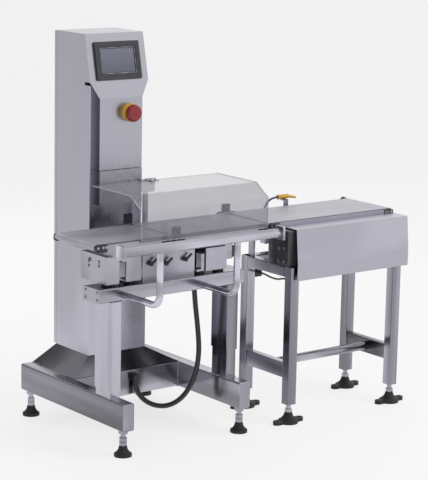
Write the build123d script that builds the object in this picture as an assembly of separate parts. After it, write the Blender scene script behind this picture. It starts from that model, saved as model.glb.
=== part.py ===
import os
from math import atan2, cos, pi, sin, tan

from build123d import *

# Checkweigher with infeed, weigh and outfeed belts, in millimetres.
# X is the belts' travel, Y points to the rear, Z is up, and the floor is at Z = 0.

# Floor frame of two long rectangular tubes and two cross tubes
beam_w = 50.0
beam_h = 100.0
tube_wall = 3.0
tube_corner = 6.0
frame_x = 571.0
frame_y = 671.0
beam_z = 97.0
crossbeam_y = 380.0
beam_top = beam_z + beam_h

# Posts and the bar that carries the belts
post_y = 80.0
post_inset = 4.0
sleeve_left_z = 226.0
sleeve_right_z = 302.0
bar_x0 = -45.0
bar_x1 = 593.0
bar_h = 51.0
bar_top = 600.0
cap_t = 4.0
bar_z = bar_top - bar_h

# Column with its console
column_x0 = 136.0
column_w = 256.0
column_front = 420.0
column_rear = 640.0
column_z0 = 264.0
column_z1 = 1452.0
sheet = 2.5
pedestal_z = 700.0
body_front = 455.0
wing_t = 3.0
head_front = 458.0
console_front_y = 407.0
console_w = 188.0
console_knee_z = 1279.0
console_fold_z = 1219.0
console_seam_z = 956.0
console_z0 = 827.0
seam_gap = 2.0
column_x1 = column_x0 + column_w
column_cx = column_x0 + column_w / 2
console_x0 = column_cx - console_w / 2
console_x1 = column_cx + console_w / 2
head_tilt = atan2(head_front - console_front_y, column_z1 - console_fold_z)
knee_y = head_front - (column_z1 - console_knee_z) * tan(head_tilt)

# Rear door, its hinge on the right and its latch on the left
door_gap = 1.0
door_t = 18.0
door_margin = 16.0
gasket_t = 6.0
door_edge = 2.0
door_z0 = column_z0 + door_edge
door_z1 = column_z1 - door_edge
hinge_pin_r = 3.0
hinge_knuckle_r = 6.0
hinge_clear = 0.08
hinge_leaf_t = 3.0
hinge_h = 60.0
latch_r = 14.0
latch_z = 860.0
cam_t = 3.0
cam_gap = 9.0

# Touch panel and stop button
panel_w = 197.0
panel_h = 142.0
panel_t = 9.0
screen_w = 146.0
screen_h = 88.0
panel_z = 1352.5
stop_x = 299.0
stop_z = 1164.0
collar_r = 34.0
collar_t = 18.0
button_r = 32.0
button_t = 16.0
button_stem_r = 11.0
button_gap = 8.0
stem_clear = 0.08

# Belts, rollers and rails
belt_z = 759.0
belt_t = 1.5
belt_y0 = 98.0
belt_w = 250.0
roller_r = 10.0
roller_clear = 0.3
journal_r = 4.0
bore_clear = 0.05
rail_gap = 2.0
rail_t = 10.0
rail_h = 29.0
rail_drop = 3.0
block_len = 46.0
bed_t = 3.0
bed_gap = 3.0
spacer = 10.0
under_bar = 20.0
infeed_x0 = -60.0
infeed_x1 = 272.0
weigh_x0 = 276.0
weigh_x1 = 712.0
outfeed_x0 = 716.0
outfeed_x1 = 1338.0
belt_y1 = belt_y0 + belt_w
belt_r = roller_r + roller_clear + belt_t
roller_z = belt_z - belt_r
rail_front = belt_y0 - rail_gap - rail_t
rail_rear = belt_y1 + rail_gap
rail_z1 = belt_z - rail_drop
rail_z0 = rail_z1 - rail_h
bar_under_z = rail_z0 - under_bar
eye_w = 32.0
eye_t = 12.0
eye_lift = 3.0
eye_z = rail_z1 + 2 * eye_lift

# Motors and toothed-belt drives on the rear side
motor_r = 27.0
motor_y0 = 150.0
motor_y1 = 296.0
motor_flange = 60.0
flange_t = 6.0
shaft_r = 5.0
motor_pulley_r = 18.0
roller_pulley_r = 12.0
pulley_t = 12.0
pulley_gap = 3.0
drive_belt_t = 2.0
infeed_motor = (212.0, 664.0)
weigh_motor = (584.0, 657.0)
outfeed_motor = (1215.0, 664.0)
pulley_y0 = rail_rear + rail_t + pulley_gap

# Carriers on the bar
pad_r = 20.0
pad_h = 8.0
support_x = (-5.0, 50.0)
support_y = (100.0, 260.0)
plate_x = (87.0, 152.0)
cell_x = (420.0, 560.0)
cell_y = (112.0, 142.0)
cell_z = (640.0, 672.0)
cell_foot = 34.0
cell_cover_x = (437.0, 532.0)
shield_x = (165.0, 395.0)
shield_y = 120.0
shield_z1 = 692.0
pad_z = bar_top + pad_h

# Bumper rail in front of the belts
bumper_y = -140.0
bumper_z = 777.0
bumper_r = 17.0
bumper_x = (-105.0, 574.0)
bumper_plate = 50.0
bumper_plate_t = 8.0
arm_r = 12.0
arm_x = (53.0, 386.0)
arm_z = 572.0
arm_bend = 42.0

# Draught hood of clear sheet on its hinge post
hood_x0 = 130.0
hood_x1 = 700.0
hood_rear = 388.0
hood_crease = 152.0
hood_front = 78.0
hood_height = 150.0
hood_rise = 48.0
hood_lap = 12.0
hood_t = 4.0
hood_post = 16.0
hood_post_in = 12.0
hood_post_drop = 11.0
hood_hinge_y = 396.0
hood_hinge_r = 5.0
hood_hinge_w = 68.0
hood_leaf_t = 2.0
hood_pin_r = 3.0
hood_top = belt_z + hood_height
hood_knee = hood_top - hood_rise
hood_bottom = belt_z - hood_lap
hood_post_x = column_x1 - hood_post_in
hood_post_z0 = bar_top
hood_post_z1 = hood_top - hood_post_drop

# Outfeed stand
stand_x0 = 755.0
stand_x1 = 1309.0
stand_y0 = 0.0
stand_y1 = 302.0
leg = 40.0
leg_wall = 3.0
leg_z0 = 74.0
stand_top = 600.0
low_rail_z = (172.0, 232.0)
low_rail_t = 30.0
stretcher_r = 17.0
upright = (8.0, 30.0)

# Front guard, drive housing and reject air fittings of the outfeed
guard_x0 = 775.0
guard_x1 = 1331.0
guard_top_y = 0.0
guard_fold_y = -12.0
guard_z = (551.0, 616.0, 743.0)
guard_t = 2.0
housing_x = (745.0, 860.0)
housing_y = (12.0, 80.0)
housing_z = (604.0, 738.0)
nozzle_x = 1000.0
nozzle_y = 380.0
nozzle_z = 789.0
nozzle_r = 9.0
air_tube_r = 4.0

# Levelling feet
foot_r = 32.0
stem_r = 9.0
foot_h = 36.0
foot_inset = 30.0
stand_foot_r = 38.0
stand_foot_h = 40.0
lug_len = 54.0
lug_r = 15.0
lug_hole_r = 5.5
lug_t = 14.0

# Cables
hose_r = 9.5
cable_r = 3.5

# The origin is on the floor, midway along and across the whole machine.
origin_x = (bumper_x[0] - bumper_plate_t + stand_x1 - leg / 2 + lug_len + lug_r) / 2
origin_y = (bumper_y - bumper_plate / 2 + frame_y - foot_inset + foot_r) / 2
home = Location((-origin_x, -origin_y, 0))

os.makedirs("parts", exist_ok=True)


def keep(name, *solids):
    placed = [home * one for shape in solids for one in shape.solids()]
    piece = placed[0] if len(placed) == 1 else Compound(children=placed)
    piece.label = name
    export_step(piece, f"parts/{name}.step")


def block(x, y, z):
    size = (x[1] - x[0], y[1] - y[0], z[1] - z[0])
    return Pos(x[0], y[0], z[0]) * Box(*size, align=(Align.MIN, Align.MIN, Align.MIN))


def rod(centre, radius, y0, y1):
    across = Plane((centre[0], y0, centre[1]), x_dir=(1, 0, 0), z_dir=(0, 1, 0))
    return extrude(across * Circle(radius), y1 - y0)


def rod_x(centre, radius, x0, x1):
    along = Plane((x0, centre[0], centre[1]), x_dir=(0, 1, 0), z_dir=(1, 0, 0))
    return extrude(along * Circle(radius), x1 - x0)


def post(centre, radius, z0, z1):
    return Pos(centre[0], centre[1], z0) * Cylinder(radius, z1 - z0, align=(Align.CENTER, Align.CENTER, Align.MIN))


def tube_box(x, y, z, axis, wall=tube_wall, corner=tube_corner):
    """One rectangular hollow section with rounded corners, open along the named axis."""
    spans = {"x": x, "y": y, "z": z}
    solid = block(x, y, z)
    solid = fillet(solid.edges().filter_by({"x": Axis.X, "y": Axis.Y, "z": Axis.Z}[axis]), corner)
    inner = {key: span if key == axis else (span[0] + wall, span[1] - wall) for key, span in spans.items()}
    return solid - block(inner["x"], inner["y"], inner["z"])


def hex_bolt(place, direction, head=8.0, height=5.0):
    seat = Plane(place, z_dir=direction)
    return extrude(seat * RegularPolygon(head, 6), height)


# Floor frame
def floor_frame():
    left = tube_box((0, beam_w), (0, frame_y), (beam_z, beam_top), "y")
    right = tube_box((frame_x - beam_w, frame_x), (0, frame_y), (beam_z, beam_top), "y")
    plug_t = 3.0
    plugs = []
    for x0 in (0, frame_x - beam_w):
        for y0 in (0, frame_y - plug_t):
            inside = (x0 + tube_wall, x0 + beam_w - tube_wall)
            plugs.append(block(inside, (y0, y0 + plug_t), (beam_z + tube_wall, beam_top - tube_wall)))
    keep("floor_beams", left, right)
    cross = []
    for y0 in (crossbeam_y, frame_y - beam_w):
        cross.append(tube_box((beam_w, frame_x - beam_w), (y0, y0 + beam_w), (beam_z, beam_top), "x"))
    keep("floor_crossbeams", *cross)
    return plugs


def skirt():
    """Hollow sheet pyramid between the floor frame and the column."""
    def ring(x0, x1, y0, y1, z):
        return Pos((x0 + x1) / 2, (y0 + y1) / 2, z) * Rectangle(x1 - x0, y1 - y0)

    foot = (beam_w, frame_x - beam_w, crossbeam_y, frame_y)
    neck = (column_x0, column_x1, column_front, column_rear)
    outer = loft([ring(*foot, beam_top), ring(*neck, column_z0)])
    small = [ring(a + sheet, b - sheet, c + sheet, d - sheet, z)
             for (a, b, c, d), z in ((foot, beam_top), (neck, column_z0))]
    keep("skirt_cover", outer - loft(small))


def posts():
    inner = []
    sleeves = []
    for x0, step in ((0, sleeve_left_z), (frame_x - beam_w, sleeve_right_z)):
        x = (x0 + post_inset, x0 + beam_w - post_inset)
        y = (post_y + post_inset, post_y + beam_h - post_inset)
        inner.append(tube_box(x, y, (beam_top, step), "z", corner=4.0))
        sleeves.append(tube_box((x0, x0 + beam_w), (post_y, post_y + beam_h), (step, bar_z), "z"))
    keep("posts", *inner, *sleeves)
    bar = tube_box((bar_x0, bar_x1), (post_y, post_y + beam_h), (bar_z, bar_top), "x")
    caps = []
    bolts = []
    for x0, way in ((bar_x0 - cap_t, -1), (bar_x1, 1)):
        caps.append(block((x0, x0 + cap_t), (post_y, post_y + beam_h), (bar_z, bar_top)))
        face = x0 if way < 0 else x0 + cap_t
        for y in (post_y + 14, post_y + beam_h - 14):
            for z in (bar_z + 12, bar_top - 12):
                bolts.append(hex_bolt((face, y, z), (way, 0, 0), 5.0, 3.5))
    keep("support_bar", bar)
    return caps, bolts


# Column, console, door and controls
def cabinet():
    outline = Plane.YZ.offset(column_x0) * make_face(Polyline(
        (column_rear, column_z0), (column_front, column_z0), (column_front, pedestal_z),
        (body_front, pedestal_z + 20), (body_front, console_knee_z), (knee_y, console_knee_z),
        (head_front, column_z1), (column_rear, column_z1), close=True))
    body = extrude(outline, column_w, dir=(1, 0, 0))
    hollow = Plane.YZ.offset(column_x0 + sheet) * make_face(Polyline(
        (column_rear - sheet, column_z0 + sheet), (column_front + sheet, column_z0 + sheet),
        (column_front + sheet, pedestal_z - 2), (body_front + sheet, pedestal_z + 18),
        (body_front + sheet, console_knee_z + sheet), (knee_y + sheet, console_knee_z + sheet),
        (head_front + sheet, column_z1 - sheet), (column_rear - sheet, column_z1 - sheet), close=True))
    body -= extrude(hollow, column_w - 2 * sheet, dir=(1, 0, 0))
    opening_x = (column_x0 + door_margin, column_x1 - door_margin)
    body -= block(opening_x, (column_rear - 2 * sheet, column_rear + 1), (door_z0 + 14, door_z1 - 14))
    wing = block((column_x0, column_x0 + wing_t), (column_front, body_front),
                 (pedestal_z, console_knee_z - 4 * wing_t))
    keep("cabinet_shell", body + wing)


def console():
    """Front sheet that leans forward over the touch panel, narrows and drops straight down."""
    lower = Plane.YZ.offset(console_x0) * make_face(Polyline(
        (knee_y, console_knee_z), (console_front_y, console_fold_z),
        (console_front_y, console_seam_z + seam_gap / 2),
        (body_front, console_seam_z + seam_gap / 2), (body_front, console_knee_z), close=True))
    apron = extrude(lower, console_w, dir=(1, 0, 0))
    side = (column_w - console_w) / 2
    corners = Plane((column_x0, knee_y, console_knee_z), x_dir=(1, 0, 0),
                    z_dir=(0, -cos(head_tilt), sin(head_tilt)))
    drop = (console_knee_z - console_fold_z) / cos(head_tilt)
    flare = corners * make_face(Polyline((0, 0), (column_w, 0), (column_w - side, -drop), (side, -drop),
                                         close=True))
    flare = extrude(flare, -sheet)
    hollow = block((console_x0 + sheet, console_x1 - sheet), (console_front_y + sheet, body_front + 1),
                   (console_seam_z - 10, console_fold_z - sheet))
    stop_hole = rod((stop_x, stop_z), button_stem_r + stem_clear, console_front_y - 1, console_front_y + 5)
    upper = apron + flare - hollow - stop_hole
    lower_cover = block((console_x0, console_x1), (console_front_y - 2, body_front),
                        (console_z0, console_seam_z - seam_gap / 2))
    lower_cover -= block((console_x0 + sheet, console_x1 - sheet), (console_front_y + 1, body_front + 1),
                         (console_z0 - 1, console_seam_z - seam_gap / 2 - sheet))
    keep("console_sheets", upper.solid(), lower_cover)


def controls():
    panel_y = head_front - (column_z1 - panel_z) * tan(head_tilt)
    face = Plane((column_cx, panel_y, panel_z), x_dir=(1, 0, 0), z_dir=(0, -cos(head_tilt), sin(head_tilt)))
    bezel = extrude(face * RectangleRounded(panel_w, panel_h, 6), panel_t, taper=8)
    recess = extrude(face.offset(panel_t - 2.5) * Rectangle(screen_w + 14, screen_h + 14), 5)
    window = extrude(face.offset(2) * Rectangle(screen_w, screen_h), panel_t)
    keep("panel_bezel", bezel - recess - window)
    keep("panel_screen", extrude(face.offset(2) * Rectangle(screen_w - 0.4, screen_h - 0.4), 3))
    collar = rod((stop_x, stop_z), collar_r, console_front_y - collar_t, console_front_y)
    collar = chamfer(collar.faces().sort_by(Axis.Y)[0].edges(), 3)
    keep("stop_collar", collar - rod((stop_x, stop_z), button_stem_r + stem_clear,
                                     console_front_y - collar_t - 1, console_front_y + 1))
    cap_y = console_front_y - collar_t - button_gap
    cap = rod((stop_x, stop_z), button_r, cap_y - button_t, cap_y)
    cap = fillet(cap.faces().sort_by(Axis.Y)[0].edges(), 9)
    grips = [rod((stop_x + (button_r + 3) * cos(k * pi / 3), stop_z + (button_r + 3) * sin(k * pi / 3)), 7,
                 cap_y - button_t - 1, cap_y + 1) for k in range(6)]
    for grip in grips:
        cap -= grip
    keep("stop_button", cap + rod((stop_x, stop_z), button_stem_r, cap_y, console_front_y + 20))


def door():
    y0 = column_rear + door_gap
    pan = block((column_x0, column_x1), (y0, y0 + door_t), (door_z0, door_z1))
    pan = fillet(pan.faces().sort_by(Axis.Y)[-1].edges(), 4)
    pan -= block((column_x0 + sheet, column_x1 - sheet), (y0 - 1, y0 + door_t - sheet),
                 (door_z0 + sheet, door_z1 - sheet))
    latch_x = column_x0 + 30
    pan -= rod((latch_x, latch_z), latch_r + hinge_clear, y0, y0 + door_t + 1)
    gasket = block((column_x0 + sheet, column_x1 - sheet), (y0, y0 + gasket_t),
                   (door_z0 + sheet, door_z1 - sheet))
    gasket -= block((column_x0 + door_margin - 2, column_x1 - door_margin + 2), (y0 - 1, y0 + gasket_t + 1),
                    (door_z0 + 14, door_z1 - 14))
    axis = (column_x1 + hinge_knuckle_r + 0.5, column_rear + door_gap + door_t / 2)
    fixed = []
    moving = []
    for z in (door_z0 + 120, (door_z0 + door_z1) / 2, door_z1 - 120):
        z0, z1 = z - hinge_h / 2, z + hinge_h / 2
        pin = post(axis, hinge_pin_r, z0, z1)
        ear = block((column_x1, column_x1 + hinge_leaf_t), (column_rear - 25, axis[1]), (z0, z0 + hinge_h / 2))
        fixed.append(pin + post(axis, hinge_knuckle_r, z0, z0 + hinge_h / 2) + ear)
        half = (z0 + hinge_h / 2 + 0.5, z1)
        leaf = block((column_x1, column_x1 + hinge_leaf_t), (axis[1], y0 + door_t - 4), half)
        knuckle = post(axis, hinge_knuckle_r, *half) + leaf
        moving.append(knuckle - post(axis, hinge_pin_r + hinge_clear, half[0] - 1, half[1] + 1))
    keep("cabinet_door", pan, *moving)
    keep("door_gasket", gasket)
    keep("door_hinges", *fixed)
    turn = rod((latch_x, latch_z), latch_r, y0 + door_t - sheet - 3, y0 + door_t + 4)
    turn -= block((latch_x - 2, latch_x + 2), (y0 + door_t + 1, y0 + door_t + 5),
                  (latch_z - latch_r, latch_z + latch_r))
    cam_y = column_rear - sheet - cam_t - cam_gap
    turn += rod((latch_x, latch_z), 7, cam_y, y0 + door_t)
    cam = block((latch_x - 6, latch_x + 6), (cam_y, cam_y + cam_t), (latch_z - 8, latch_z + 22))
    keep("door_latch", turn + cam)


# Belts
def stadium(x0, x1, radius, y0, y1):
    flat = block((x0, x1), (y0, y1), (roller_z - radius, roller_z + radius))
    return flat + rod((x0, roller_z), radius, y0, y1) + rod((x1, roller_z), radius, y0, y1)


def hull_loop(first, first_r, second, second_r, y0, y1):
    """Plain band stretched round two round wheels."""
    def outline(extra):
        wheels = Sketch() + Pos(*first) * Circle(first_r + extra) + Pos(*second) * Circle(second_r + extra)
        flat = make_hull(wheels.edges())
        return extrude(Plane((0, y1, 0), x_dir=(1, 0, 0), z_dir=(0, -1, 0)) * flat, y1 - y0)
    return outline(roller_clear + drive_belt_t) - outline(roller_clear)


def rail_holes(solid, x, y0, y1):
    return solid - rod((x, roller_z), journal_r + bore_clear, y0 - 1, y1 + 1)


def conveyor(name, x0, x1, motor):
    """Belt loop, bed, rails, blocks and rollers of one section, and its motor drive."""
    ends = (x0 + belt_r, x1 - belt_r)
    tail, drive = ends
    belt = stadium(ends[0], ends[1], belt_r, belt_y0, belt_y1)
    belt -= stadium(ends[0], ends[1], belt_r - belt_t, belt_y0 - 1, belt_y1 + 1)
    bed_x = (ends[0] + roller_r + bed_gap, ends[1] - roller_r - bed_gap)
    top = belt_z - belt_t
    bed = block(bed_x, (belt_y0 + 2, belt_y1 - 2), (top - bed_t, top))
    count = max(2, round((bed_x[1] - bed_x[0]) / 190))
    step = (bed_x[1] - bed_x[0] - spacer) / (count - 1)
    for k in range(count):
        sx = bed_x[0] + k * step
        bed += block((sx, sx + spacer), (rail_front + rail_t, rail_rear), (top - bed_t - spacer, top - bed_t))
    rails = []
    blocks = []
    bolts = []
    for y0, way in ((rail_front, -1), (rail_rear, 1)):
        y = (y0, y0 + rail_t)
        rails.append(block((ends[0] + block_len - 8, ends[1] - block_len + 8), y, (rail_z0, rail_z1)))
        for centre, side in ((ends[0], 1), (ends[1], -1)):
            span = sorted((centre - side * 9, centre + side * (block_len - 8)))
            end = block(span, y, (rail_z0 + 3, rail_z1))
            end = fillet(end.edges().filter_by(Axis.Y).group_by(Axis.X)[0 if side > 0 else -1], 7)
            blocks.append(rail_holes(end, centre, *y))
            face = y[0] if way < 0 else y[1]
            for offset in (19, 31):
                bolts.append(hex_bolt((centre + side * offset, face, roller_z + 1), (0, way, 0), 5.0, 2.5))
    under = [block((ux, ux + under_bar), (rail_front, rail_rear + rail_t), (bar_under_z, rail_z0))
             for ux in under_bars[name]]
    for role, centre in (("drive", drive), ("tail", tail)):
        body = rod((centre, roller_z), roller_r, belt_y0 + 2, belt_y1 - 2)
        far = pulley_y0 + pulley_t + 2 if role == "drive" else rail_rear + rail_t
        body += rod((centre, roller_z), journal_r, rail_front, far)
        if role == "drive":
            body += rod((centre, roller_z), roller_pulley_r, pulley_y0, pulley_y0 + pulley_t)
        keep(f"{name}_{role}_roller", body)
    keep(f"{name}_motor_pulley", rod(motor, motor_pulley_r, pulley_y0, pulley_y0 + pulley_t)
         - rod(motor, shaft_r + bore_clear, pulley_y0 - 1, pulley_y0 + pulley_t + 1))
    loop = hull_loop(motor, motor_pulley_r, (drive, roller_z), roller_pulley_r, pulley_y0 + 1,
                     pulley_y0 + pulley_t - 1)
    return belt, bed, rails, blocks, bolts, under, loop


def motor_unit(centre, hanger_x):
    """Round gearmotor, square flange and the plate that hangs it from an under bar."""
    body = rod(centre, motor_r, motor_y0, motor_y1)
    body = fillet(body.faces().sort_by(Axis.Y)[0].edges(), 5)
    half = motor_flange / 2
    flange = block((centre[0] - half, centre[0] + half), (motor_y1, motor_y1 + flange_t),
                   (centre[1] - half, centre[1] + half))
    shaft = rod(centre, shaft_r, motor_y1 + flange_t, pulley_y0 + pulley_t + 1)
    plate_y = (motor_y1 + flange_t, motor_y1 + 2 * flange_t)
    span = (min(centre[0] - half, hanger_x), max(centre[0] + half, hanger_x + under_bar))
    plate = block(span, plate_y, (centre[1] - half, bar_under_z))
    plate -= rod(centre, shaft_r + 1, plate_y[0] - 1, plate_y[1] + 1)
    return body + flange + shaft, plate


infeed_hanger_x = 232.0
weigh_end_bar_x = 640.0
cell_reach = 70.0
under_bars = {
    "infeed": (support_x[0] + 16, plate_x[0] + 24, infeed_hanger_x),
    "weigh": (cell_x[0] - cell_reach, cell_x[1] - cell_foot, weigh_end_bar_x),
    "outfeed": (stand_x0 + leg / 2 - under_bar / 2, 960.0, stand_x1 - leg / 2 - under_bar / 2),
}


def belts():
    sections = (
        ("infeed", infeed_x0, infeed_x1, infeed_motor, infeed_hanger_x),
        ("weigh", weigh_x0, weigh_x1, weigh_motor, cell_x[1] - cell_foot),
        ("outfeed", outfeed_x0, outfeed_x1, outfeed_motor, stand_x1 - leg / 2 - under_bar / 2),
    )
    loose, beds, rails, blocks, bolts, under, loops, motors, plates = [], [], [], [], [], [], [], [], []
    for name, x0, x1, motor, hanger in sections:
        belt, bed, rail, ends, screws, bars, loop = conveyor(name, x0, x1, motor)
        loose.append(belt)
        beds.append(bed)
        rails += rail
        blocks += ends
        bolts += screws
        under += bars
        loops.append(loop)
        unit, plate = motor_unit(motor, hanger)
        motors.append(unit)
        plates.append(plate)
    keep("conveyor_belts", *loose)
    keep("slider_beds", *beds)
    keep("side_rails", *rails)
    keep("bearing_blocks", *blocks)
    keep("under_frames", *under, *plates)
    keep("drive_belts", *loops)
    keep("drive_motors", *motors)
    return bolts


# Carriers between the bar and the belts
def carriers():
    wall = 4.0
    shell = block(support_x, support_y, (pad_z, bar_under_z))
    shell -= block((support_x[0] + wall, support_x[1] - wall), (support_y[0] + wall, support_y[1] + 1),
                   (pad_z + wall, bar_under_z - wall))
    slot = (support_y[0] + 92, support_y[0] + 110)
    shell -= block((support_x[0] - 1, support_x[0] + wall + 1), slot, (pad_z + 72, pad_z + 84))
    plate = block(plate_x, (110, 116), (pad_z, bar_under_z))
    plate += block(plate_x, (116, 160), (pad_z, pad_z + 6))
    keep("infeed_carrier", shell, plate)
    base = block((cell_x[0] - 20, cell_x[0] + cell_foot), cell_y, (pad_z, pad_z + 8))
    base += block((cell_x[0], cell_x[0] + cell_foot), cell_y, (pad_z, cell_z[0]))
    top = block((cell_x[1] - cell_foot, cell_x[1]), cell_y, (cell_z[1], bar_under_z - 8))
    top += block((cell_x[0] - cell_reach, weigh_end_bar_x + under_bar), cell_y, (bar_under_z - 8, bar_under_z))
    keep("cell_brackets", base, top)
    cell = block(cell_x, cell_y, cell_z)
    for cx in (cell_x[0] + 52, cell_x[0] + 88):
        cell -= rod((cx, sum(cell_z) / 2), 10, cell_y[0] - 1, cell_y[1] + 1)
    mid = sum(cell_z) / 2
    cell -= block((cell_x[0] + 52, cell_x[0] + 88), (cell_y[0] - 1, cell_y[1] + 1), (mid - 4, mid + 4))
    keep("load_cell", cell)
    cover_y = cell_y[0] - 6
    cover = block(cell_cover_x, (cover_y, cover_y + 2), (pad_z, cell_z[1] + 20))
    cover += block(cell_cover_x, (cover_y, cell_y[1] + 20), (pad_z, pad_z + 2))
    cover -= block((cell_x[0] - 21, cell_x[0] + cell_foot + 1), cell_y, (pad_z - 1, pad_z + 9))
    shield = block(shield_x, (shield_y, shield_y + 2), (bar_top, shield_z1))
    shield += block(shield_x, (shield_y, shield_y + 25), (bar_top, bar_top + 2))
    keep("cell_cover", cover, shield)
    pads = [post((x, y), pad_r, bar_top, pad_z) for x, y in
            ((support_x[0] + 24, 130), (plate_x[0] + 30, 135), (cell_x[0] + 2, 127), (cell_cover_x[1] - 24, 127))]
    keep("mounting_pads", *pads)


def bumper():
    rail = rod_x((bumper_y, bumper_z), bumper_r, *bumper_x)
    for x0 in (bumper_x[0] - bumper_plate_t, bumper_x[1]):
        half = bumper_plate / 2
        plate = block((x0, x0 + bumper_plate_t), (bumper_y - half, bumper_y + half),
                      (bumper_z - half, bumper_z + half))
        rail += fillet(plate.edges().filter_by(Axis.X), 5)
    keep("bumper_rail", rail)
    arms = []
    for x in arm_x:
        path = FilletPolyline((x, post_y, arm_z), (x, bumper_y, arm_z), (x, bumper_y, bumper_z), radius=arm_bend)
        start = Plane((x, post_y, arm_z), z_dir=(0, -1, 0))
        arm = sweep(start * Circle(arm_r), path=path)
        arms.append(arm - rod_x((bumper_y, bumper_z), bumper_r, x - 40, x + 40))
    keep("bumper_arms", *[arm.solids().sort_by(Axis.Z)[0] for arm in arms])


# Hood
def hood():
    outer = [(hood_rear, hood_top), (hood_crease, hood_top), (hood_front, hood_knee), (hood_front, hood_bottom)]
    sheet_face = Plane.YZ.offset(hood_x0) * make_face(Polyline(
        *outer, (hood_front + hood_t, hood_bottom), (hood_front + hood_t, hood_knee - hood_t / 2),
        (hood_crease + hood_t / 2, hood_top - hood_t), (hood_rear, hood_top - hood_t), close=True))
    cover = extrude(sheet_face, hood_x1 - hood_x0, dir=(1, 0, 0))
    leaf_x = (hood_post_x - hood_hinge_w / 4 + 0.5, hood_post_x + hood_hinge_w / 4 - 0.5)
    axis = (hood_hinge_y, hood_top)
    leaf = block(leaf_x, (hood_rear - 40, hood_hinge_y), (hood_top, hood_top + hood_leaf_t))
    leaf += rod_x(axis, hood_hinge_r, *leaf_x)
    leaf -= rod_x(axis, hood_pin_r + hinge_clear, leaf_x[0] - 1, leaf_x[1] + 1)
    screws = [post((hood_post_x + dx, hood_rear - 22), 4, hood_top + hood_leaf_t, hood_top + hood_leaf_t + 3)
              for dx in (-10, 10)]
    keep("hood_sheet", cover)
    keep("hood_leaf", leaf, *screws)
    half = hood_hinge_w / 2
    span = (hood_post_x - half, hood_post_x + half)
    plate_y = (hood_hinge_y + 4, column_front - hood_post)
    plate = block(span, plate_y, (hood_knee, hood_top - hood_hinge_r - 1))
    for x0, x1 in ((span[0], leaf_x[0] - 0.5), (leaf_x[1] + 0.5, span[1])):
        plate += rod_x(axis, hood_hinge_r, x0, x1)
        plate += block((x0, x1), plate_y, (hood_knee, hood_top))
        plate += block((x0, x1), (hood_hinge_y, plate_y[1]), (hood_top - 3, hood_top + 3))
    plate += rod_x(axis, hood_pin_r, *span)
    half = hood_post / 2
    upright_post = block((hood_post_x - half, hood_post_x + half), (column_front - hood_post, column_front),
                         (hood_post_z0, hood_post_z1))
    keep("hood_hinge", plate, fillet(upright_post.edges().filter_by(Axis.Z), 2))


# Sensors beside the weigh belt
def sensors():
    """Photocell in front and a reflector behind, at the way in, and a second reflector at the way out."""
    brackets = []
    eyes = []
    for y0, x, way, height in ((rail_front, weigh_x0 + 12, -1, 28), (rail_rear, weigh_x0 - 14, -1, 36),
                               (rail_rear, weigh_x1 + 4, 1, 30)):
        y = (y0, y0 + rail_t)
        foot = block(sorted((x + way * 42, x + way * 22)), y, (rail_z1, rail_z1 + eye_lift))
        arm = block(sorted((x + way * 42, x - way * eye_w / 2)), y, (rail_z1 + eye_lift, eye_z))
        brackets.append(foot + arm)
        eye = block((x - eye_w / 2, x + eye_w / 2), (y0 - 2, y0 - 2 + eye_t), (eye_z, eye_z + height))
        eyes.append(fillet(eye.edges().filter_by(Axis.Y), 2))
    keep("photocells", *eyes)
    return brackets


# Outfeed stand
def stand():
    legs = []
    corners = [(x, y) for x in (stand_x0, stand_x1 - leg) for y in (stand_y0, stand_y1 - leg)]
    for x, y in corners:
        legs.append(tube_box((x, x + leg), (y, y + leg), (leg_z0, stand_top), "z", leg_wall, 4.0))
    keep("stand_legs", *legs)
    top = (stand_top - leg, stand_top)
    rails = []
    for x in (stand_x0, stand_x1 - leg):
        rails.append(tube_box((x, x + leg), (stand_y0 + leg, stand_y1 - leg), top, "y", leg_wall, 4.0))
    for y in (stand_y0, stand_y1 - leg):
        rails.append(tube_box((stand_x0 + leg, stand_x1 - leg), (y, y + leg), top, "x", leg_wall, 4.0))
    inset = (leg - low_rail_t) / 2
    for x in (stand_x0, stand_x1 - leg):
        rails.append(tube_box((x + inset, x + inset + low_rail_t), (stand_y0 + leg, stand_y1 - leg), low_rail_z,
                              "y", leg_wall, 4.0))
    middle = ((stand_y0 + stand_y1) / 2, sum(low_rail_z) / 2)
    rails.append(rod_x(middle, stretcher_r, stand_x0 + inset + low_rail_t, stand_x1 - inset - low_rail_t))
    keep("stand_rails", *rails)
    plugs = [block((x + leg_wall, x + leg - leg_wall), (y + leg_wall, y + leg - leg_wall), (leg_z0, leg_z0 + 10))
             for x, y in corners]
    uprights = []
    for x in (stand_x0 + leg / 2, stand_x1 - leg / 2):
        for y in (stand_y0 + 100, stand_y1 - leg - 14):
            uprights.append(block((x - upright[0] / 2, x + upright[0] / 2), (y, y + upright[1]),
                                  (stand_top, bar_under_z)))
    return corners, plugs, uprights


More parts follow.
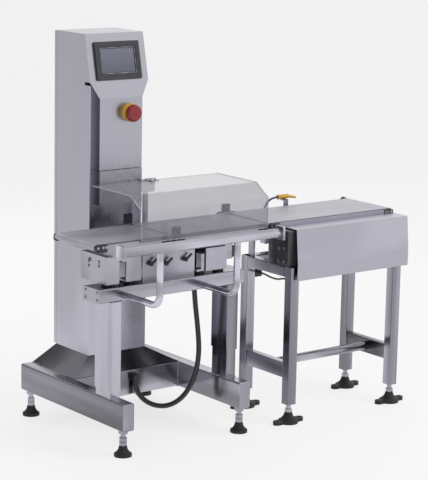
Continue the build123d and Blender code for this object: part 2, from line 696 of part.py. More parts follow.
def guard():
    low, fold, high = guard_z
    profile = Plane.YZ.offset(guard_x0) * make_face(Polyline(
        (rail_front, high), (guard_top_y, high), (guard_fold_y, fold), (guard_fold_y, low),
        (guard_fold_y + guard_t, low), (guard_fold_y + guard_t, fold),
        (guard_top_y + guard_t, high - guard_t), (rail_front, high - guard_t), close=True))
    keep("front_guard", extrude(profile, guard_x1 - guard_x0, dir=(1, 0, 0)))
    spacer_z = stand_top - leg / 2
    studs = [rod((x, spacer_z), 8, guard_fold_y + guard_t, stand_y0)
             for x in (stand_x0 + 90, (stand_x0 + stand_x1) / 2, stand_x1 - 90)]
    box = block(housing_x, housing_y, housing_z)
    box = fillet(box.edges().filter_by(Axis.X), 6)
    foot = block((housing_x[0] + 10, housing_x[1] - 10), (stand_y0 + 14, stand_y0 + 38), (stand_top, housing_z[0]))
    flange = block((housing_x[0] - 33, housing_x[0]), (rail_front - 6, rail_front), (bar_under_z - 100, rail_z0))
    ear = block((housing_x[0] - 33, housing_x[0] + 60), (rail_front - 6, rail_front), (bar_under_z, rail_z0))
    keep("drive_housing", box, foot)
    bolts = []
    for y, z in ((28, 720), (56, 716), (30, 672), (58, 668), (30, 622), (60, 620)):
        bolts.append(hex_bolt((housing_x[0], y, z), (-1, 0, 0), 6.5, 5.0))
    return bolts, studs, (flange + ear).solid()


def air_line():
    arm = block((nozzle_x + 8, nozzle_x + 30), (rail_rear + rail_t, rail_rear + rail_t + 4),
                (rail_z0, nozzle_z - nozzle_r))
    arm += block((nozzle_x + 8, nozzle_x + 30), (rail_rear + rail_t + 4, nozzle_y + 6),
                 (nozzle_z - nozzle_r - 4, nozzle_z - nozzle_r))
    body = rod_x((nozzle_y, nozzle_z), nozzle_r, nozzle_x, nozzle_x + 42)
    tip = loft([Plane((nozzle_x + 42, nozzle_y, nozzle_z), z_dir=(1, 0, 0)) * Circle(7.5),
                Plane((nozzle_x + 84, nozzle_y, nozzle_z - 8), z_dir=(1, 0, 0)) * Circle(4)])
    nut = extrude(Plane((nozzle_x, nozzle_y, nozzle_z), z_dir=(-1, 0, 0)) * RegularPolygon(10, 6), 9)
    keep("air_nozzle", (body + tip + nut).solid())
    return arm


# Feet
def feet(stand_corners):
    stems = []
    pads = []
    for x in (beam_w / 2, frame_x - beam_w / 2):
        for y in (foot_inset, frame_y - foot_inset):
            stem = post((x, y), stem_r, foot_h - 6, beam_z)
            stem += post((x, y), 17, beam_z - 14, beam_z)
            stem += Pos(x, y, foot_h + 4) * extrude(RegularPolygon(15, 6), 13)
            stem += Pos(x, y, foot_h + 19) * extrude(RegularPolygon(15, 6), 13)
            stems.append(stem)
            pads.append(dome_pad(x, y, foot_r, foot_h, stem_r))
    for x, y in stand_corners:
        cx, cy = x + leg / 2, y + leg / 2
        stems.append(post((cx, cy), stem_r, stand_foot_h - 6, leg_z0)
                     + Pos(cx, cy, stand_foot_h + 4) * extrude(RegularPolygon(15, 6), 12))
        pad = dome_pad(cx, cy, stand_foot_r, stand_foot_h, stem_r)
        for side in (-1, 1):
            lug = post((cx + side * lug_len, cy), lug_r, 0, lug_t)
            lug += block(sorted((cx, cx + side * lug_len)), (cy - lug_r, cy + lug_r), (0, lug_t))
            pad += lug - post((cx + side * lug_len, cy), lug_hole_r, -1, lug_t + 1)
        pads.append(pad - post((cx, cy), stem_r, stand_foot_h - 6, stand_foot_h + 1))
    keep("foot_stems", *stems)
    keep("foot_pads", *pads)


def dome_pad(x, y, radius, height, seat_r):
    profile = Plane.XZ * make_face(
        Polyline((0, 0), (radius, 0), (radius, height * 0.28))
        + RadiusArc((radius, height * 0.28), (seat_r + 6, height), radius)
        + Polyline((seat_r + 6, height), (0, height), (0, 0)))
    pad = revolve(profile, Axis.Z)
    return Pos(x, y, 0) * pad - post((x, y), seat_r, height - 6, height + 1)


# Cables
def cable(points, radius):
    """Straight runs joined by tangent arcs, each as large as its shorter run allows."""
    pts = [Vector(*p) for p in points]
    radii = []
    for a, b, c in zip(pts, pts[1:], pts[2:]):
        turn = (b - a).get_angle(c - b) * pi / 180
        radii.append(0.45 * min((b - a).length, (c - b).length) / tan(turn / 2))
    path = FilletPolyline(*points, radius=radii)
    start = Plane(pts[0], z_dir=(pts[1] - pts[0]).normalized())
    return sweep(start * Circle(radius), path=path)


hose_end_y = crossbeam_y - 3 - hose_r - 3
hose_route = (
    (450, 196, 640), (450, 196, 560), (456, 193, 470), (467, 188, 375), (474, 186, 290), (472, 195, 215),
    (461, 217, 145), (438, 244, 92), (402, 276, 62), (361, 308, 62), (329, 340, 84),
    (312, hose_end_y, 122), (312, hose_end_y, 158),
)
cable_route = (
    (806, 262, 534), (806, 226, 534), (794, 164, 530), (780, 104, 536), (775, 72, 548), (775, 40, 548),
)
air_route = (
    (nozzle_x - 9, nozzle_y, nozzle_z), (nozzle_x - 34, nozzle_y, nozzle_z),
    (nozzle_x - 60, nozzle_y + 4, nozzle_z - 18), (nozzle_x - 72, nozzle_y + 8, nozzle_z - 54),
    (nozzle_x - 73, nozzle_y + 6, nozzle_z - 96), (nozzle_x - 60, nozzle_y, nozzle_z - 138),
)


def cables():
    keep("main_hose", cable(hose_route, hose_r))
    top = hose_route[0]
    drop_box = block((top[0] - 40, top[0] + 40), (post_y + beam_h + 2, top[1] + 26), (top[2] + 16, top[2] + 52))
    clip = block((top[0] - 30, top[0] + 30), (post_y + beam_h, post_y + beam_h + 2), (bar_z + 8, top[2] + 52))
    gland = post(top[:2], hose_r + 3, top[2], top[2] + 16)
    end = hose_route[-1]
    seat = block((end[0] - 14, end[0] + 14), (crossbeam_y - 3, crossbeam_y), (end[2] - 4, end[2] + 24))
    holder = post(end[:2], hose_r + 3, end[2], end[2] + 20)
    holder += block((end[0] - 6, end[0] + 6), (end[1], crossbeam_y - 3), (end[2], end[2] + 20))
    keep("hose_glands", gland, holder)
    keep("sensor_cable", cable(cable_route, cable_r))
    box_y = (stand_y1 - leg, stand_y1 - 8)
    box = block((stand_x0 + leg, stand_x0 + leg + 32), box_y, (515, 555))
    keep("cable_boxes", drop_box + clip, seat, box)
    keep("air_tube", cable(air_route, air_tube_r))


caps, bolts = posts()
caps += floor_frame()
skirt()
cabinet()
console()
controls()
door()
bolts += belts()
carriers()
bumper()
hood()
brackets = sensors()
corners, leg_plugs, uprights = stand()
guard_bolts, spacers, transfer = guard()
nozzle_arm = air_line()
feet(corners)
cables()
for y, z in ((150, 668), (150, 683), (214, 660), (214, 676)):
    bolts.append(hex_bolt((support_x[0], y, z), (-1, 0, 0), 6.0, 4.0))
keep("tube_caps", *caps, *leg_plugs)
keep("belt_brackets", *brackets, transfer)
keep("stand_brackets", *uprights, *spacers, nozzle_arm)
keep("frame_bolts", *bolts, *guard_bolts)
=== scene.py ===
from math import cos, pi, radians, sin, tan

import bpy
from mathutils import Matrix, Vector


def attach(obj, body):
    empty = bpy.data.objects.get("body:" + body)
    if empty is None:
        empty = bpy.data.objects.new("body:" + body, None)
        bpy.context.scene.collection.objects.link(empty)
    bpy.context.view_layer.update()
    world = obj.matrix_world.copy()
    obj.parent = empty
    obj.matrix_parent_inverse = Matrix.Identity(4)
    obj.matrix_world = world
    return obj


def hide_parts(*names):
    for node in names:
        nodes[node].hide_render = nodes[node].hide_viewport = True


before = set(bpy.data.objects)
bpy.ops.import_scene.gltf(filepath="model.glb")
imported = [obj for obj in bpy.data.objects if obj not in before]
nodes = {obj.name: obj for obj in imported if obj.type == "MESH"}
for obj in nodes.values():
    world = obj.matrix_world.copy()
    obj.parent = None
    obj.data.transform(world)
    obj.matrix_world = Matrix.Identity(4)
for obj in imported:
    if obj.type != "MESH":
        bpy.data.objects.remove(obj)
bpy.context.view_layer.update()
print("frame loaded:", len(nodes), "nodes")

partOrigin = (622.5, 254.0)  # millimetres, as in the CAD source


def metrePoint(point):
    x, y, z = point
    return ((x - partOrigin[0]) / 1000, (y - partOrigin[1]) / 1000, z / 1000)


def metres(points):
    return [metrePoint(point) for point in points]


# Camera at the photograph's angle, for a 428 x 480 frame
cameraView = {"place": (-4.2798, -5.5093, 2.0681), "yaw": 37.60, "pitch": 11.27, "roll": 1.15,
              "lens": 142.17, "sensor": 36, "far": 300}


def setCamera(view):
    yaw, pitch, roll = (radians(view[key]) for key in ("yaw", "pitch", "roll"))
    forward = Vector((sin(yaw) * cos(pitch), cos(yaw) * cos(pitch), -sin(pitch)))
    right = forward.cross(Vector((0, 0, 1))).normalized()
    up = right.cross(forward)
    turnedRight = right * cos(roll) + up * sin(roll)
    turnedUp = up * cos(roll) - right * sin(roll)
    data = bpy.data.cameras.new("camera")
    data.lens = view["lens"]
    data.sensor_fit = "VERTICAL"
    data.sensor_height = view["sensor"]
    data.clip_end = view["far"]
    camera = bpy.data.objects.new("camera", data)
    bpy.context.scene.collection.objects.link(camera)
    turn = Matrix((turnedRight, turnedUp, -forward)).transposed().to_4x4()
    camera.matrix_world = Matrix.Translation(view["place"]) @ turn
    bpy.context.scene.camera = camera


setCamera(cameraView)
print("camera set")


# Shader maths: a wrapped socket takes the usual operators
class Value:
    def __init__(self, finish, socket):
        self.finish = finish
        self.socket = socket

    def maths(self, operation, other):
        return self.finish.add("ShaderNodeMath", {"operation": operation}, {0: self, 1: other})

    def __add__(self, other):
        return self.maths("ADD", other)

    __radd__ = __add__

    def __mul__(self, other):
        return self.maths("MULTIPLY", other)

    __rmul__ = __mul__

    def __gt__(self, other):
        return self.maths("GREATER_THAN", other)


class Finish:
    def __init__(self, name, colour, metallic, roughness, **rest):
        self.material = bpy.data.materials.new(name)
        self.material.use_nodes = True
        self.tree = self.material.node_tree
        self.shader = self.tree.nodes["Principled BSDF"]
        self.shader.inputs["Base Color"].default_value = (*colour, 1)
        self.shader.inputs["Metallic"].default_value = metallic
        self.shader.inputs["Roughness"].default_value = roughness
        for key, value in rest.items():
            self.shader.inputs[key].default_value = value

    def add(self, kind, settings, values, out=0):
        node = self.tree.nodes.new(kind)
        for key, value in settings.items():
            if key == "stops":
                ramp = node.color_ramp
                while len(ramp.elements) < len(value):
                    ramp.elements.new(0.5)
                for element, (place, colour) in zip(ramp.elements, value):
                    element.position = place
                    element.color = (*colour, 1)
            else:
                setattr(node, key, value)
        for key, value in values.items():
            if isinstance(value, Value):
                self.tree.links.new(value.socket, node.inputs[key])
            else:
                node.inputs[key].default_value = value
        return Value(self, node.outputs[out])

    def place(self, scale):
        spot = self.add("ShaderNodeTexCoord", {}, {}, "Object")
        return self.add("ShaderNodeMapping", {}, {"Vector": spot, "Scale": scale})

    def noise(self, scale, detail, roughness, distortion=0.0):
        values = {"Vector": self.place(scale), "Scale": 1.0, "Detail": detail, "Roughness": roughness,
                  "Distortion": distortion}
        return self.add("ShaderNodeTexNoise", {}, values)

    def ramp(self, value, stops):
        return self.add("ShaderNodeValToRGB", {"stops": stops}, {0: value})

    def blend(self, factor, first, second):
        return self.add("ShaderNodeMix", {"data_type": "RGBA"}, {0: factor, 6: first, 7: second}, 2)

    def bump(self, height, strength, distance):
        return self.add("ShaderNodeBump", {}, {"Height": height, "Strength": strength, "Distance": distance})

    def feed(self, **links):
        for key, value in links.items():
            self.tree.links.new(value.socket, self.shader.inputs[key.replace("_", " ")])
        return self.material


greyTint = {"green": 0.985, "blue": 1.12, "beltBlue": 1.1}


def grey(level, blue=greyTint["blue"]):
    return (level, level * greyTint["green"], level * blue)


# Finishes. A steel's low and high greys are the dark and bright streaks of a painted reflection, laid into its
# colour.
steels = {
    "polishedUpright": {"low": 0.15, "high": 0.58, "rough": 0.14,
                        "along": (7, 7, 0.4), "grain": (900, 900, 14)},
    "polishedAcross": {"low": 0.16, "high": 0.56, "rough": 0.15,
                       "along": (0.4, 7, 7), "grain": (14, 900, 900)},
    "polishedDeep": {"low": 0.16, "high": 0.54, "rough": 0.15,
                     "along": (7, 0.4, 7), "grain": (900, 14, 900)},
    "polishedSkirt": {"low": 0.025, "high": 0.24, "rough": 0.12,
                      "along": (3.4, 3.4, 2.2), "grain": (600, 600, 20)},
    "polishedRails": {"low": 0.10, "high": 0.62, "rough": 0.16,
                      "along": (2.4, 2.4, 7), "grain": (60, 60, 800)},
    "bumperSteel": {"low": 0.30, "high": 0.72, "rough": 0.16,
                    "along": (1.2, 14, 14), "grain": (16, 700, 700)},
    "cabinetSteel": {"low": 0.47, "high": 0.62, "rough": 0.26,
                     "along": (2.2, 2.2, 0.7), "grain": (1100, 1100, 16)},
    "guardSteel": {"low": 0.46, "high": 0.64, "rough": 0.28,
                   "along": (0.9, 2.6, 2.6), "grain": (14, 1100, 1100)},
    "smallSteel": {"low": 0.34, "high": 0.50, "rough": 0.28,
                   "along": (3, 3, 3), "grain": (700, 700, 60)},
    "rollerSteel": {"low": 0.45, "high": 0.62, "rough": 0.20,
                    "along": (40, 3, 40), "grain": (500, 700, 500)},
    "satinAluminium": {"low": 0.40, "high": 0.52, "rough": 0.36,
                       "along": (2, 9, 9), "grain": (30, 900, 900)},
}
# Steel wear and painted reflection: stops, middle, bright and the streak detail shape the painted reflection
# streaks in the steel's colour; grain, smudge, scratches and bump are the steel's own wear.
steelWearAndPaintedReflection = {
    "stops": (0.34, 0.47, 0.58, 0.72),  # where the streak noise goes from dark to bright
    "middle": 0.42,
    "bright": 0.92,
    "paintedReflectionDetail": (2.5, 0.5, 0.2),
    "grainShare": 0.16,
    "grainDark": 0.7,
    "smudge": (5, 5, 5),
    "smudgeRough": 0.16,
    "grainRough": 0.10,
    "roughDrop": 0.10,
    "scratchSize": 0.35,
    "bump": (0.05, 0.0004),
}


def steelFinish(name, setting):
    low, high = setting["low"], setting["high"]
    # the four greys of the painted reflection, from dark streak to painted highlight
    paintedReflectionLevels = (low, (low + high) * steelWearAndPaintedReflection["middle"], high * steelWearAndPaintedReflection["bright"], high)
    finish = Finish(name, grey(high), 1.0, setting["rough"])
    # painted reflection: noise stretched along the steel, ramped from dark to bright greys in the base colour
    paintedStreak = finish.noise(setting["along"], *steelWearAndPaintedReflection["paintedReflectionDetail"])
    paintedReflection = finish.ramp(paintedStreak, [(stop, grey(level)) for stop, level in zip(steelWearAndPaintedReflection["stops"], paintedReflectionLevels)])
    grain = finish.noise(setting["grain"], 2.0, 0.5)
    smudge = finish.noise(steelWearAndPaintedReflection["smudge"], 5.0, 0.6)
    colour = finish.blend(grain * steelWearAndPaintedReflection["grainShare"], paintedReflection, (*grey(low * steelWearAndPaintedReflection["grainDark"]), 1))
    lowest = setting["rough"] - steelWearAndPaintedReflection["roughDrop"]
    rough = smudge * steelWearAndPaintedReflection["smudgeRough"] + grain * steelWearAndPaintedReflection["grainRough"] + lowest
    scratches = finish.noise(tuple(step * steelWearAndPaintedReflection["scratchSize"] for step in setting["grain"]), 3.0, 0.7)
    return finish.feed(Base_Color=colour, Roughness=rough,
                       Normal=finish.bump(grain + scratches, *steelWearAndPaintedReflection["bump"]))


belt = {"level": 0.40, "rough": 0.42, "coatRough": 0.35, "threads": 190.0, "waver": 0.4,
        "worn": (1.2, 9, 9), "stops": ((0.3, 0.33), (0.52, 0.41), (0.75, 0.47)),
        "threadLevel": 0.30, "threadShare": 0.10, "wornRough": 0.2, "lowRough": 0.26, "bump": (0.12, 0.0003)}


def beltThreads(finish, spot, direction):
    values = {"Vector": spot, "Scale": belt["threads"], "Distortion": belt["waver"]}
    return finish.add("ShaderNodeTexWave", {"wave_type": "BANDS", "bands_direction": direction}, values, 1)


def beltFinish():
    blue = greyTint["beltBlue"]
    finish = Finish("beltWeave", grey(belt["level"]), 0.0, belt["rough"])
    finish.shader.inputs["Coat Roughness"].default_value = belt["coatRough"]
    spot = finish.place((1, 1, 1))
    weave = beltThreads(finish, spot, "X") * beltThreads(finish, spot, "Y")
    worn = finish.noise(belt["worn"], 4.0, 0.6)
    base = finish.ramp(worn, [(stop, grey(level, blue)) for stop, level in belt["stops"]])
    colour = finish.blend(weave * belt["threadShare"], base, (*grey(belt["threadLevel"], blue), 1))
    return finish.feed(Base_Color=colour, Roughness=worn * belt["wornRough"] + belt["lowRough"],
                       Normal=finish.bump(weave, *belt["bump"]))


moulding = {"speck": (420.0, 420.0, 420.0), "dust": (11, 11, 11), "stops": (0.32, 0.52, 0.74), "pale": 0.02,
            "dustRough": 0.18, "speckRough": 0.06, "roughDrop": 0.10, "bump": (0.16, 0.0004)}


def mouldedFinish(name, colour, rough, fleck, coat):
    finish = Finish(name, colour, 0.0, rough)
    finish.shader.inputs["Coat Weight"].default_value = coat
    speck = finish.noise(moulding["speck"], 2.0, 0.6)
    dust = finish.noise(moulding["dust"], 4.0, 0.6)
    pale = tuple(min(1, value * (1 + fleck) + moulding["pale"] * fleck) for value in colour)
    deep = tuple(value * (1 - fleck) for value in colour)
    tint = finish.ramp(dust, list(zip(moulding["stops"], (deep, colour, pale))))
    lowest = rough - moulding["roughDrop"]
    roughness = dust * moulding["dustRough"] + speck * moulding["speckRough"] + lowest
    return finish.feed(Base_Color=tint, Roughness=roughness, Normal=finish.bump(speck, *moulding["bump"]))


acrylic = {"index": 1.49, "coat": 0.5, "haze": (4, 4, 4), "scuffs": (30, 420, 420), "scuffLimit": 0.64,
           "hazeAlpha": 0.10, "scuffAlpha": 0.05, "alphaDrop": 0.05, "wearRough": 0.08}


def hoodFinish(name, colour, alpha, rough):
    finish = Finish(name, colour, 0.0, rough, IOR=acrylic["index"])
    finish.shader.inputs["Coat Weight"].default_value = acrylic["coat"]
    haze = finish.noise(acrylic["haze"], 4.0, 0.6)
    scuffs = finish.noise(acrylic["scuffs"], 3.0, 0.7)
    marks = scuffs > acrylic["scuffLimit"]
    clear = haze * acrylic["hazeAlpha"] + marks * acrylic["scuffAlpha"] + (alpha - acrylic["alphaDrop"])
    wornRough = haze * acrylic["wearRough"] + marks * acrylic["wearRough"] + rough
    return finish.feed(Alpha=clear, Roughness=wornRough)


# Screen glass; bottom, top, dark and light set a painted reflection that lightens the screen towards its top
# edge
screen = {"colour": (0.17, 0.18, 0.25), "rough": 0.14, "coat": 0.3, "bottom": 1.30, "top": 1.40,
          "dark": (0.1, (0.075, 0.08, 0.115)), "light": (0.9, (0.15, 0.16, 0.21)),
          "smear": (16, 16, 30), "paintedReflectionShare": 0.75, "smearShare": 0.25, "smearRough": 0.14, "lowRough": 0.06}


def screenFinish():
    finish = Finish("screenGlass", screen["colour"], 0.0, screen["rough"])
    finish.shader.inputs["Coat Weight"].default_value = screen["coat"]
    height = finish.add("ShaderNodeSeparateXYZ", {}, {"Vector": finish.place((1, 1, 1))}, 2)
    # painted reflection: the screen's colour is ramped by height, lighter towards the top
    screenPaintedReflection = finish.add("ShaderNodeMapRange", {},
                       {"Value": height, "From Min": screen["bottom"], "From Max": screen["top"]})
    smear = finish.noise(screen["smear"], 4.0, 0.6)
    tint = finish.ramp(screenPaintedReflection * screen["paintedReflectionShare"] + smear * screen["smearShare"],
                       [screen["dark"], screen["light"]])
    return finish.feed(Base_Color=tint, Roughness=smear * screen["smearRough"] + screen["lowRough"])


looks = {name: steelFinish(name, setting) for name, setting in steels.items()}
looks["beltWeave"] = beltFinish()
looks["hoodAcrylic"] = hoodFinish("hoodAcrylic", (0.22, 0.215, 0.27), 0.38, 0.04)
# pale, nearly opaque edge colour: a painted highlight on the hood's edges
looks["hoodEdgeHighlight"] = hoodFinish("hoodEdgeHighlight", (0.62, 0.61, 0.68), 0.85, 0.12)
looks["screenGlass"] = screenFinish()
mouldings = {
    "blackMoulding": ((0.022, 0.022, 0.026), 0.42, 0.25, 0.1),
    "bezelMoulding": ((0.032, 0.032, 0.040), 0.42, 0.15, 0.1),
    "blackRubber": ((0.016, 0.016, 0.018), 0.62, 0.35, 0.0),
    "hoseSkin": ((0.014, 0.014, 0.018), 0.38, 0.30, 0.25),
    "motorPaint": ((0.035, 0.036, 0.042), 0.38, 0.30, 0.2),
    "yellowMoulding": ((0.62, 0.36, 0.03), 0.34, 0.10, 0.3),
    "redMoulding": ((0.24, 0.005, 0.008), 0.30, 0.16, 0.4),
    "blueTube": ((0.012, 0.03, 0.20), 0.26, 0.20, 0.4),
}
for name, (colour, rough, fleck, coat) in mouldings.items():
    looks[name] = mouldedFinish(name, colour, rough, fleck, coat)
print("finishes made:", len(looks))

beltNames = ("infeed", "weigh", "outfeed")
wear = {
    "polishedUpright": ["posts", "stand_legs", "hood_hinge"],
    "polishedAcross": ["support_bar", "floor_crossbeams"],
    "polishedDeep": ["floor_beams"],
    "polishedSkirt": ["skirt_cover"],
    "polishedRails": ["stand_rails"],
    "bumperSteel": ["bumper_rail", "bumper_arms"],
    "cabinetSteel": ["cabinet_shell", "console_sheets", "cabinet_door"],
    "guardSteel": ["front_guard"],
    "smallSteel": ["tube_caps", "infeed_carrier", "cell_cover", "stand_brackets", "belt_brackets",
                   "cell_brackets", "hood_leaf", "door_hinges", "foot_stems", "frame_bolts", "door_latch"],
    "rollerSteel": [f"{part}_{role}_roller" for part in beltNames for role in ("drive", "tail")],
    "satinAluminium": ["side_rails", "under_frames", "slider_beds", "load_cell"]
                      + [f"{part}_motor_pulley" for part in beltNames],
    "beltWeave": ["conveyor_belts"],
    "hoodAcrylic": ["hood_sheet"],
    "screenGlass": ["panel_screen"],
    "bezelMoulding": ["panel_bezel"],
    "blackMoulding": ["bearing_blocks", "cable_boxes", "hose_glands", "photocells"],
    "blackRubber": ["mounting_pads", "door_gasket", "drive_belts", "foot_pads"],
    "hoseSkin": ["main_hose", "sensor_cable"],
    "motorPaint": ["drive_motors", "drive_housing"],
    "yellowMoulding": ["stop_collar", "air_nozzle"],
    "redMoulding": ["stop_button"],
    "blueTube": ["air_tube"],
}
for look, names in wear.items():
    for name in names:
        piece = nodes[name]
        if not piece.material_slots:
            piece.data.materials.append(looks[look])
        for place in piece.material_slots:
            place.material = looks[look]
print("nodes dressed")


# Cords on the CAD routes
cords = {
    "mainHose": {
        "node": "main_hose", "radius": 0.0095, "look": "hoseSkin", "slot": "black_rubber",
        "length": 0.797, "stiff": "medium",
        "route": [(450, 196, 640), (450, 196, 560), (456, 193, 470), (467, 188, 375), (474, 186, 290),
                  (472, 195, 215), (461, 217, 145), (438, 244, 92), (402, 276, 62), (361, 308, 62),
                  (329, 340, 84), (312, 364.5, 122), (312, 364.5, 158)]},
    "sensorCable": {
        "node": "sensor_cable", "radius": 0.0035, "look": "hoseSkin", "slot": "black_rubber",
        "length": 0.222, "stiff": "limp",
        "route": [(806, 262, 534), (806, 226, 534), (794, 164, 530), (780, 104, 536), (775, 72, 548),
                  (775, 40, 548)]},
    "airTube": {
        "node": "air_tube", "radius": 0.004, "look": "blueTube", "slot": "air_tube",
        "length": 0.176, "stiff": "medium",
        "route": [(991, 380, 789), (966, 380, 789), (940, 384, 771), (928, 388, 735), (927, 386, 693),
                  (940, 380, 651)]},
}
for name, setting in cords.items():
    route = metres(setting["route"])
    data = bpy.data.curves.new(name, "CURVE")
    data.dimensions = "3D"
    data.bevel_depth = setting["radius"]
    data.bevel_resolution = 6
    data.resolution_u = 12
    data.use_fill_caps = True
    line = data.splines.new("NURBS")
    line.points.add(len(route) - 1)
    for point, spot in zip(line.points, route):
        point.co = (*spot, 1)
    line.order_u = 3
    line.use_endpoint_u = True
    line.use_smooth = True
    piece = bpy.data.objects.new(name, data)
    bpy.context.scene.collection.objects.link(piece)
    data.materials.append(looks[setting["look"]])
    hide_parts(setting["node"])
    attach(piece, "frame")
print("cords laid:", len(cords))


# New pieces
def freshStart():
    if bpy.context.object and bpy.context.object.mode != "OBJECT":
        bpy.ops.object.mode_set(mode="OBJECT")
    bpy.ops.object.select_all(action="DESELECT")


def selectOnly(piece):
    freshStart()
    piece.select_set(True)
    bpy.context.view_layer.objects.active = piece


def applyPlace():
    bpy.ops.object.transform_apply(location=True, rotation=True, scale=True)


def joinAll(pieces):
    selectOnly(pieces[0])
    for piece in pieces[1:]:
        piece.select_set(True)
    if len(pieces) > 1:
        bpy.ops.object.join()
    return bpy.context.object


def copied(piece, shift):
    selectOnly(piece)
    bpy.ops.object.duplicate()
    bpy.context.object.location = [step / 1000 for step in shift]
    applyPlace()
    return bpy.context.object


smoothAngle = 35


def settle(piece, name, look, body):
    selectOnly(piece)
    applyPlace()
    bpy.ops.object.shade_smooth_by_angle(angle=radians(smoothAngle))
    piece.name = name
    piece.data.materials.clear()
    piece.data.materials.append(looks[look])
    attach(piece, body)


def bevelled(piece, edge):
    bevel = piece.modifiers.new("edge", "BEVEL")
    bevel.width = edge
    bevel.segments = 2
    bevel.limit_method = "ANGLE"
    selectOnly(piece)
    applyPlace()
    bpy.ops.object.modifier_apply(modifier="edge")
    return piece


def slab(low, high, edge):
    a, b = metrePoint(low), metrePoint(high)
    freshStart()
    bpy.ops.mesh.primitive_cube_add(size=1, location=[(u + v) / 2 for u, v in zip(a, b)])
    piece = bpy.context.object
    piece.scale = [v - u for u, v in zip(a, b)]
    return bevelled(piece, edge)


turns = {"y": (pi / 2, 0, 0), "z": (0, 0, 0)}


def ring(centre, radius, depth, axis, sides, edge):
    freshStart()
    bpy.ops.mesh.primitive_cylinder_add(vertices=sides, radius=radius / 1000, depth=depth / 1000,
                                        location=metrePoint(centre), rotation=turns[axis])
    return bevelled(bpy.context.object, edge)


# Weld beads where the square tubes meet, each an outline with a round bead
welds = {
    "bead": 1.8,
    "cuts": 14,
    "ripple": 0.0003,
    "rippleStep": 1.7,
    "flat": [((4, 46), (84, 176), 197), ((525, 567), (84, 176), 197), ((0, 50), (80, 180), 549),
             ((521, 571), (80, 180), 549)],
    "side": [(50, (380, 430), (97, 197)), (521, (380, 430), (97, 197)), (50, (621, 671), (97, 197)),
             (521, (621, 671), (97, 197))],
}


def beadLoop(corners, radius):
    data = bpy.data.meshes.new("bead")
    data.from_pydata(metres(corners), [(k, (k + 1) % len(corners)) for k in range(len(corners))], [])
    piece = bpy.data.objects.new("bead", data)
    bpy.context.scene.collection.objects.link(piece)
    selectOnly(piece)
    bpy.ops.object.mode_set(mode="EDIT")
    bpy.ops.mesh.select_all(action="SELECT")
    bpy.ops.mesh.subdivide(number_cuts=welds["cuts"])
    bpy.ops.object.mode_set(mode="OBJECT")
    bpy.ops.object.convert(target="CURVE")
    piece = bpy.context.object
    piece.data.bevel_depth = radius / 1000
    piece.data.bevel_resolution = 2
    bpy.ops.object.convert(target="MESH")
    piece = bpy.context.object
    for k, vertex in enumerate(piece.data.vertices):
        vertex.co += vertex.normal * welds["ripple"] * sin(k * welds["rippleStep"])
    return piece


beads = [beadLoop([(x[0], y[0], z), (x[1], y[0], z), (x[1], y[1], z), (x[0], y[1], z)], welds["bead"])
         for x, y, z in welds["flat"]]
beads += [beadLoop([(x, y[0], z[0]), (x, y[1], z[0]), (x, y[1], z[1]), (x, y[0], z[1])], welds["bead"])
          for x, y, z in welds["side"]]
settle(joinAll(beads), "weldBeads", "smallSteel", "frame")
print("weld beads done")

# Ribs on the motors, one modelled and copied
motors = {"centres": [(212, 664), (584, 657), (1215, 664)], "first": 166, "step": 13, "count": 8,
          "rib": {"radius": 28.6, "depth": 4.5, "axis": "y", "sides": 40, "edge": 0.0009}}
firstX, firstZ = motors["centres"][0]
rib = ring((firstX, motors["first"], firstZ), **motors["rib"])
shifts = [(x - firstX, k * motors["step"], z - firstZ)
          for x, z in motors["centres"] for k in range(motors["count"])]
ribs = [rib] + [copied(rib, shift) for shift in shifts[1:]]
settle(joinAll(ribs), "motorRibs", "motorPaint", "frame")
print("motors done")

# Air valve under the outfeed belt, where the blue tube ends
valve = {
    "plate": {"low": (930, 360, 628), "high": (978, 363, 726), "edge": 0.0004},
    "body": {"low": (922, 363, 612), "high": (958, 397, 640), "edge": 0.0018},
    "collar": {"centre": (940, 380, 645.5), "radius": 7, "depth": 11, "axis": "z", "sides": 6, "edge": 0.0006},
    "knob": {"centre": (940, 399, 626), "radius": 6, "depth": 6, "axis": "y", "sides": 32, "edge": 0.0008},
}
parts = [slab(**valve["plate"]), slab(**valve["body"]), ring(**valve["collar"]), ring(**valve["knob"])]
settle(joinAll(parts), "airValve", "smallSteel", "frame")
print("air valve done")

# Clamp levers on the plate under the belts, one hub with its slanted lever modelled and copied
clamps = {"spots": [(196, 120, 662), (262, 120, 656), (348, 120, 662)], "slant": 38,
          "hub": {"radius": 9, "depth": 14, "axis": "y", "sides": 32, "edge": 0.0012},
          "lever": (34, 9, 8), "overhang": 4, "leverEdge": 0.0025}


def clampLever(x, y, z):
    outer = y - clamps["hub"]["depth"]
    hub = ring((x, (y + outer) / 2, z), **clamps["hub"])
    length, depth, height = clamps["lever"]
    start = x - clamps["overhang"]
    lever = slab((start, outer - depth / 2, z - height / 2),
                 (start + length, outer + depth / 2, z + height / 2), clamps["leverEdge"])
    selectOnly(lever)
    bpy.ops.object.mode_set(mode="EDIT")
    bpy.ops.mesh.select_all(action="SELECT")
    bpy.ops.transform.rotate(value=radians(clamps["slant"]), orient_axis="Y",
                             center_override=metrePoint((x, outer, z)))
    bpy.ops.object.mode_set(mode="OBJECT")
    return joinAll([hub, lever])


firstSpot = Vector(clamps["spots"][0])
lever = clampLever(*firstSpot)
levers = [lever] + [copied(lever, Vector(spot) - firstSpot) for spot in clamps["spots"][1:]]
settle(joinAll(levers), "clampLevers", "blackMoulding", "frame")
print("clamp levers done")

# Polished edges of the clear hood; the edges are real, their pale colour is a painted highlight
hood = {"profile": [(388, 907), (152, 907), (80, 862), (80, 748)], "ends": (130.8, 699.2), "bead": 1.5}


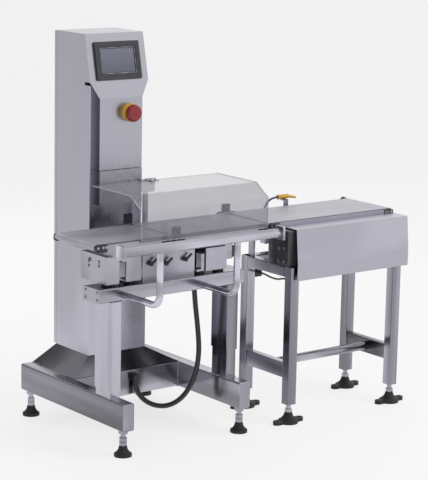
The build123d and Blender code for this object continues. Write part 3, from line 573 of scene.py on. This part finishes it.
def edgeBar(points, radius):
    data = bpy.data.curves.new("hoodEdgeHighlight", "CURVE")
    data.dimensions = "3D"
    data.bevel_depth = radius / 1000
    data.bevel_resolution = 2
    data.use_fill_caps = True
    line = data.splines.new("POLY")
    spots = metres(points)
    line.points.add(len(spots) - 1)
    for point, spot in zip(line.points, spots):
        point.co = (*spot, 1)
    piece = bpy.data.objects.new("hoodEdgeHighlight", data)
    bpy.context.scene.collection.objects.link(piece)
    selectOnly(piece)
    bpy.ops.object.convert(target="MESH")
    return bpy.context.object


bars = [edgeBar([(x, y, z) for y, z in hood["profile"]], hood["bead"]) for x in hood["ends"]]
bars.append(edgeBar([(x, *hood["profile"][-1]) for x in hood["ends"]], hood["bead"]))
settle(joinAll(bars), "hoodEdgeHighlights", "hoodEdgeHighlight", "hood")
print("hood edges done")

# Raised lip round the display, on the leaning head
panel = {"centre": (264, 1352.5), "size": (152, 94), "tilt": 12.35, "front": 458, "top": 1452, "lift": 7.4,
         "bead": 1.3}


def panelPoint(across, up):
    tilt = radians(panel["tilt"])
    x, z = panel["centre"]
    y = panel["front"] - (panel["top"] - z) * tan(tilt)
    return (x + across, y + up * sin(tilt) - panel["lift"] * cos(tilt),
            z + up * cos(tilt) + panel["lift"] * sin(tilt))


wide, tall = (value / 2 for value in panel["size"])
lip = beadLoop([panelPoint(-wide, -tall), panelPoint(wide, -tall),
                panelPoint(wide, tall), panelPoint(-wide, tall)], panel["bead"])
settle(lip, "panelLip", "satinAluminium", "frame")
print("panel lip done")


# Pale floor, soft light and a surround that the steel mirrors
studio = {
    "floorSize": 160, "floorColour": (0.86, 0.86, 0.87), "floorRough": 0.6, "floorGlow": 0.72,
    "sideFrom": (-0.8, 0.7), "sideTo": (0.26, 1.12),
    "ambient": (0.62, 0.62, 0.64, 1), "backdrop": (0.97, 0.97, 0.97, 1),
    "aim": (0, 0, 0.7),
    "lamps": {
        "key": {"place": (2.6, -3.4, 3.6), "size": 2.6, "power": 95},
        "fill": {"place": (-3.4, -2.6, 2.4), "size": 2.4, "power": 24},
        "rear": {"place": (0.6, 3.6, 3.0), "size": 2.4, "power": 36},
    },
}


def floorFinish():
    finish = Finish("paleFloor", studio["floorColour"], 0.0, studio["floorRough"])
    seen = finish.add("ShaderNodeLightPath", {}, {}, "Is Camera Ray")
    mirrored = finish.add("ShaderNodeLightPath", {}, {}, "Is Glossy Ray")
    glow = finish.add("ShaderNodeEmission", {}, {"Color": (1, 1, 1, 1), "Strength": 1.0})
    mix = finish.tree.nodes.new("ShaderNodeMixShader")
    finish.tree.links.new(((seen + mirrored) * studio["floorGlow"]).socket, mix.inputs[0])
    finish.tree.links.new(finish.shader.outputs[0], mix.inputs[1])
    finish.tree.links.new(glow.socket, mix.inputs[2])
    finish.tree.links.new(mix.outputs[0], finish.tree.nodes["Material Output"].inputs["Surface"])
    return finish.material


def makeStudio():
    freshStart()
    bpy.ops.mesh.primitive_plane_add(size=studio["floorSize"], location=(0, 0, 0))
    floor = bpy.context.object
    floor.name = "paleFloor"
    floor.data.materials.append(floorFinish())
    scene = bpy.context.scene
    scene.view_settings.view_transform = "Standard"
    world = bpy.data.worlds.new("studio")
    scene.world = world
    world.use_nodes = True
    tree = world.node_tree
    back = tree.nodes["Background"]
    back.inputs["Strength"].default_value = 1.0
    ray = tree.nodes.new("ShaderNodeLightPath")
    spot = tree.nodes.new("ShaderNodeTexCoord")
    split = tree.nodes.new("ShaderNodeSeparateXYZ")
    side = tree.nodes.new("ShaderNodeMapRange")
    side.inputs["From Min"].default_value, side.inputs["From Max"].default_value = studio["sideFrom"]
    side.inputs["To Min"].default_value, side.inputs["To Max"].default_value = studio["sideTo"]
    tree.links.new(spot.outputs["Generated"], split.inputs["Vector"])
    tree.links.new(split.outputs["X"], side.inputs["Value"])
    mirror = tree.nodes.new("ShaderNodeMix")
    mirror.data_type = "RGBA"
    mirror.inputs[6].default_value = studio["ambient"]
    tree.links.new(ray.outputs["Is Glossy Ray"], mirror.inputs[0])
    tree.links.new(side.outputs["Result"], mirror.inputs[7])
    seen = tree.nodes.new("ShaderNodeMath")
    seen.operation = "MAXIMUM"
    tree.links.new(ray.outputs["Is Camera Ray"], seen.inputs[0])
    tree.links.new(ray.outputs["Is Transmission Ray"], seen.inputs[1])
    whole = tree.nodes.new("ShaderNodeMix")
    whole.data_type = "RGBA"
    whole.inputs[7].default_value = studio["backdrop"]
    tree.links.new(seen.outputs["Value"], whole.inputs[0])
    tree.links.new(mirror.outputs[2], whole.inputs[6])
    tree.links.new(whole.outputs[2], back.inputs["Color"])
    for name, setting in studio["lamps"].items():
        data = bpy.data.lights.new(name, "AREA")
        data.size = setting["size"]
        data.energy = setting["power"]
        lamp = bpy.data.objects.new(name, data)
        scene.collection.objects.link(lamp)
        lamp.visible_glossy = False  # the steel mirrors the studio, not the lamps
        lamp.location = setting["place"]
        aim = Vector(studio["aim"]) - Vector(setting["place"])
        lamp.rotation_euler = aim.to_track_quat("-Z", "Y").to_euler()


makeStudio()
print("studio done")
